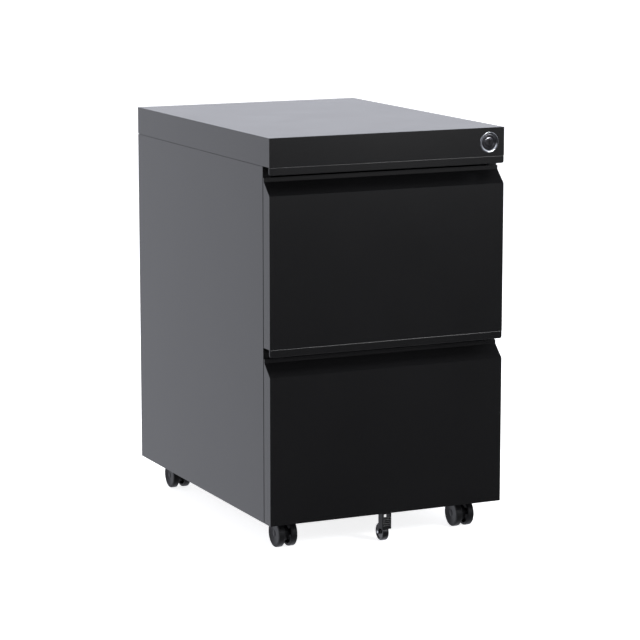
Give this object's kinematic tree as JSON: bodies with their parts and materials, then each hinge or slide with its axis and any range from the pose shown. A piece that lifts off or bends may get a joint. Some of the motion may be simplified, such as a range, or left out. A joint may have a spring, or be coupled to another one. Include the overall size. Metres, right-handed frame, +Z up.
{
  "type": "metal filing cabinet",
  "caption": "Low mobile steel filing cabinet with full-extension drawers, recessed finger pulls, a central lock, swivel casters and an anti-tip wheel.",
  "frame": {"origin": "middle of the footprint on the floor", "axes": "+X to the cabinet's right seen from the front, +Y to the back, +Z up; drawers open along -Y"},
  "size_m": [0.37, 0.5012, 0.596],
  "materials": {
    "black_powder_coat": "smooth semi-gloss powder coat",
    "zinc_plated_steel": "satin zinc plate",
    "chrome": "polished",
    "black_nylon": "moulded, slightly glossy"
  },
  "bodies": {
    "cabinet": {"left_side_panel": "black_powder_coat", "right_side_panel": "black_powder_coat", "back_panel": "black_powder_coat", "base_panel": "black_powder_coat", "top_cap": "black_powder_coat", "top_front_rail": "black_powder_coat", "middle_front_rail": "black_powder_coat", "front_left_upright": "black_powder_coat", "front_right_upright": "black_powder_coat", "rear_left_upright": "black_powder_coat", "rear_right_upright": "black_powder_coat", "lock_housing": "chrome", "lock_nut": "zinc_plated_steel", "upper_left_slide_outer": "zinc_plated_steel", "upper_right_slide_outer": "zinc_plated_steel", "lower_left_slide_outer": "zinc_plated_steel", "lower_right_slide_outer": "zinc_plated_steel"},
    "upper_drawer": {"upper_drawer_front": "black_powder_coat", "upper_front_liner": "black_powder_coat", "upper_drawer_tray": "black_powder_coat", "upper_lock_catch": "zinc_plated_steel", "upper_file_rail_left": "black_powder_coat", "upper_file_rail_right": "black_powder_coat", "upper_left_slide_inner": "zinc_plated_steel", "upper_right_slide_inner": "zinc_plated_steel"},
    "upper_left_slide_carriage": {"upper_left_slide_middle": "zinc_plated_steel"},
    "upper_right_slide_carriage": {"upper_right_slide_middle": "zinc_plated_steel"},
    "lower_drawer": {"lower_drawer_front": "black_powder_coat", "lower_front_liner": "black_powder_coat", "lower_drawer_tray": "black_powder_coat", "lower_lock_catch": "zinc_plated_steel", "lower_file_rail_left": "black_powder_coat", "lower_file_rail_right": "black_powder_coat", "lower_left_slide_inner": "zinc_plated_steel", "lower_right_slide_inner": "zinc_plated_steel", "tip_wheel_bracket": "black_powder_coat", "tip_wheel_axle": "zinc_plated_steel"},
    "lower_left_slide_carriage": {"lower_left_slide_middle": "zinc_plated_steel"},
    "lower_right_slide_carriage": {"lower_right_slide_middle": "zinc_plated_steel"},
    "lock_cylinder": {"lock_plug": "chrome", "lock_cam": "zinc_plated_steel"},
    "lock_drop_bar": {"lock_bar": "zinc_plated_steel"},
    "front_left_caster": {"front_left_caster_housing": "black_nylon", "front_left_caster_axle": "zinc_plated_steel"},
    "front_left_wheel_left": {"front_left_caster_wheel_left": "black_nylon"},
    "front_left_wheel_right": {"front_left_caster_wheel_right": "black_nylon"},
    "front_right_caster": {"front_right_caster_housing": "black_nylon", "front_right_caster_axle": "zinc_plated_steel"},
    "front_right_wheel_left": {"front_right_caster_wheel_left": "black_nylon"},
    "front_right_wheel_right": {"front_right_caster_wheel_right": "black_nylon"},
    "rear_left_caster": {"rear_left_caster_housing": "black_nylon", "rear_left_caster_axle": "zinc_plated_steel"},
    "rear_left_wheel_left": {"rear_left_caster_wheel_left": "black_nylon"},
    "rear_left_wheel_right": {"rear_left_caster_wheel_right": "black_nylon"},
    "rear_right_caster": {"rear_right_caster_housing": "black_nylon", "rear_right_caster_axle": "zinc_plated_steel"},
    "rear_right_wheel_left": {"rear_right_caster_wheel_left": "black_nylon"},
    "rear_right_wheel_right": {"rear_right_caster_wheel_right": "black_nylon"},
    "anti_tip_wheel": {"tip_wheel": "black_nylon"}
  },
  "joints": [
    {"name": "lock_turn", "type": "hinge", "parent": "cabinet", "child": "lock_cylinder", "pos_m": [0.1603, -0.2494, 0.5749], "axis": [0, 1, 0], "range_deg": [0, 90]},
    {"name": "lock_bar_drop", "type": "slide", "parent": "cabinet", "child": "lock_drop_bar", "axis": [0, 0, -1], "range_m": [0, 0.0099]},
    {"name": "upper_drawer_slide", "type": "slide", "parent": "cabinet", "child": "upper_drawer", "axis": [0, -1, 0], "range_m": [0, 0.4]},
    {"name": "upper_left_carriage_slide", "type": "slide", "parent": "cabinet", "child": "upper_left_slide_carriage", "axis": [0, -1, 0], "range_m": [0, 0.2]},
    {"name": "upper_right_carriage_slide", "type": "slide", "parent": "cabinet", "child": "upper_right_slide_carriage", "axis": [0, -1, 0], "range_m": [0, 0.2]},
    {"name": "lower_drawer_slide", "type": "slide", "parent": "cabinet", "child": "lower_drawer", "axis": [0, -1, 0], "range_m": [0, 0.4]},
    {"name": "lower_left_carriage_slide", "type": "slide", "parent": "cabinet", "child": "lower_left_slide_carriage", "axis": [0, -1, 0], "range_m": [0, 0.2]},
    {"name": "lower_right_carriage_slide", "type": "slide", "parent": "cabinet", "child": "lower_right_slide_carriage", "axis": [0, -1, 0], "range_m": [0, 0.2]},
    {"name": "front_left_swivel", "type": "hinge", "parent": "cabinet", "child": "front_left_caster", "pos_m": [-0.1435, -0.1864, 0.047], "axis": [0, 0, 1], "continuous": true},
    {"name": "front_left_left_wheel_spin", "type": "hinge", "parent": "front_left_caster", "child": "front_left_wheel_left", "pos_m": [-0.1435, -0.2004, 0.02], "axis": [1, 0, 0], "continuous": true},
    {"name": "front_left_right_wheel_spin", "type": "hinge", "parent": "front_left_caster", "child": "front_left_wheel_right", "pos_m": [-0.1435, -0.2004, 0.02], "axis": [1, 0, 0], "continuous": true},
    {"name": "front_right_swivel", "type": "hinge", "parent": "cabinet", "child": "front_right_caster", "pos_m": [0.1435, -0.1864, 0.047], "axis": [0, 0, 1], "continuous": true},
    {"name": "front_right_left_wheel_spin", "type": "hinge", "parent": "front_right_caster", "child": "front_right_wheel_left", "pos_m": [0.1435, -0.2004, 0.02], "axis": [1, 0, 0], "continuous": true},
    {"name": "front_right_right_wheel_spin", "type": "hinge", "parent": "front_right_caster", "child": "front_right_wheel_right", "pos_m": [0.1435, -0.2004, 0.02], "axis": [1, 0, 0], "continuous": true},
    {"name": "rear_left_swivel", "type": "hinge", "parent": "cabinet", "child": "rear_left_caster", "pos_m": [-0.1435, 0.2166, 0.047], "axis": [0, 0, 1], "continuous": true},
    {"name": "rear_left_left_wheel_spin", "type": "hinge", "parent": "rear_left_caster", "child": "rear_left_wheel_left", "pos_m": [-0.1435, 0.2026, 0.02], "axis": [1, 0, 0], "continuous": true},
    {"name": "rear_left_right_wheel_spin", "type": "hinge", "parent": "rear_left_caster", "child": "rear_left_wheel_right", "pos_m": [-0.1435, 0.2026, 0.02], "axis": [1, 0, 0], "continuous": true},
    {"name": "rear_right_swivel", "type": "hinge", "parent": "cabinet", "child": "rear_right_caster", "pos_m": [0.1435, 0.2166, 0.047], "axis": [0, 0, 1], "continuous": true},
    {"name": "rear_right_left_wheel_spin", "type": "hinge", "parent": "rear_right_caster", "child": "rear_right_wheel_left", "pos_m": [0.1435, 0.2026, 0.02], "axis": [1, 0, 0], "continuous": true},
    {"name": "rear_right_right_wheel_spin", "type": "hinge", "parent": "rear_right_caster", "child": "rear_right_wheel_right", "pos_m": [0.1435, 0.2026, 0.02], "axis": [1, 0, 0], "continuous": true},
    {"name": "anti_tip_wheel_spin", "type": "hinge", "parent": "lower_drawer", "child": "anti_tip_wheel", "pos_m": [0, -0.2324, 0.0135], "axis": [1, 0, 0], "continuous": true}
  ],
  "couplings": [
    {"joint": "lock_turn", "follows": "lock_bar_drop", "rad_per_m": 158.68},
    {"joint": "upper_left_carriage_slide", "follows": "upper_drawer_slide", "ratio": 0.5},
    {"joint": "upper_right_carriage_slide", "follows": "upper_drawer_slide", "ratio": 0.5},
    {"joint": "lower_left_carriage_slide", "follows": "lower_drawer_slide", "ratio": 0.5},
    {"joint": "lower_right_carriage_slide", "follows": "lower_drawer_slide", "ratio": 0.5}
  ]
}
